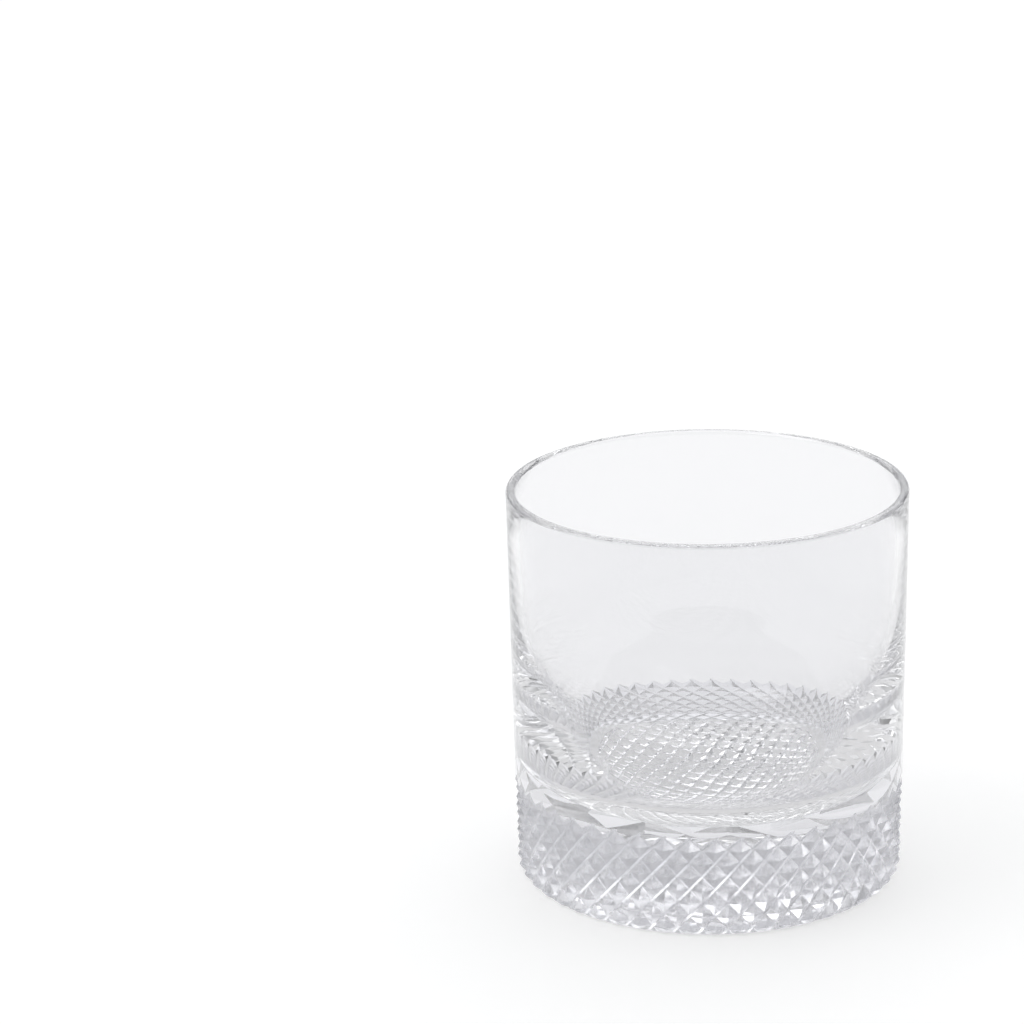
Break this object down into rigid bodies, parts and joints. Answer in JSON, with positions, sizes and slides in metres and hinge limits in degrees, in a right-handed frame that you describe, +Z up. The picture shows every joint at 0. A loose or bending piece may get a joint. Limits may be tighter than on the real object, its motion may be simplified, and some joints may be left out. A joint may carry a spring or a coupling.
{
  "type": "whiskey tumbler",
  "caption": "Round clear glass tumbler with a thin straight wall, a rounded rim, a heavy base and a band of cut diamonds around the foot; holds a drink.",
  "frame": {"origin": "middle of the foot, on the plane the glass stands on", "axes": "+Z up along the glass's axis, towards the rim; the glass is round, so X and Y are free"},
  "size_m": [0.084, 0.084, 0.084],
  "materials": {
    "tumbler": "clear, fire polished, with cut facets around the foot"
  },
  "bodies": {
    "root": {"tumbler": "tumbler"}
  },
  "joints": []
}
